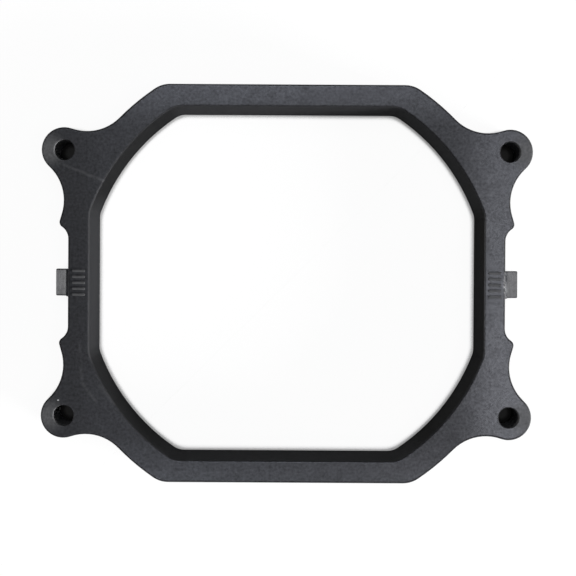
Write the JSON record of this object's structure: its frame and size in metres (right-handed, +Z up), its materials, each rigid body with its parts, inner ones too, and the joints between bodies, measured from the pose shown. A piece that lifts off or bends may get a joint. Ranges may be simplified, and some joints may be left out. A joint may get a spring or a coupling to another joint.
{
  "type": "cpu cooler mounting bracket",
  "caption": "Flat-sided ring frame of black moulded plastic with corner ears for fixing screws and side lugs for a cooler's spring clip, fixed around a processor socket.",
  "frame": {"origin": "middle of the flat underside, on the centre of the fixing hole pattern", "axes": "+X along the longer hole pitch, +Y along the shorter one, +Z up out of the top face"},
  "size_m": [0.1034, 0.084, 0.0153],
  "materials": {
    "black_plastic": "satin black moulded plastic with a fine even grain"
  },
  "bodies": {
    "root": {"bracket_frame": "black_plastic"}
  },
  "joints": []
}
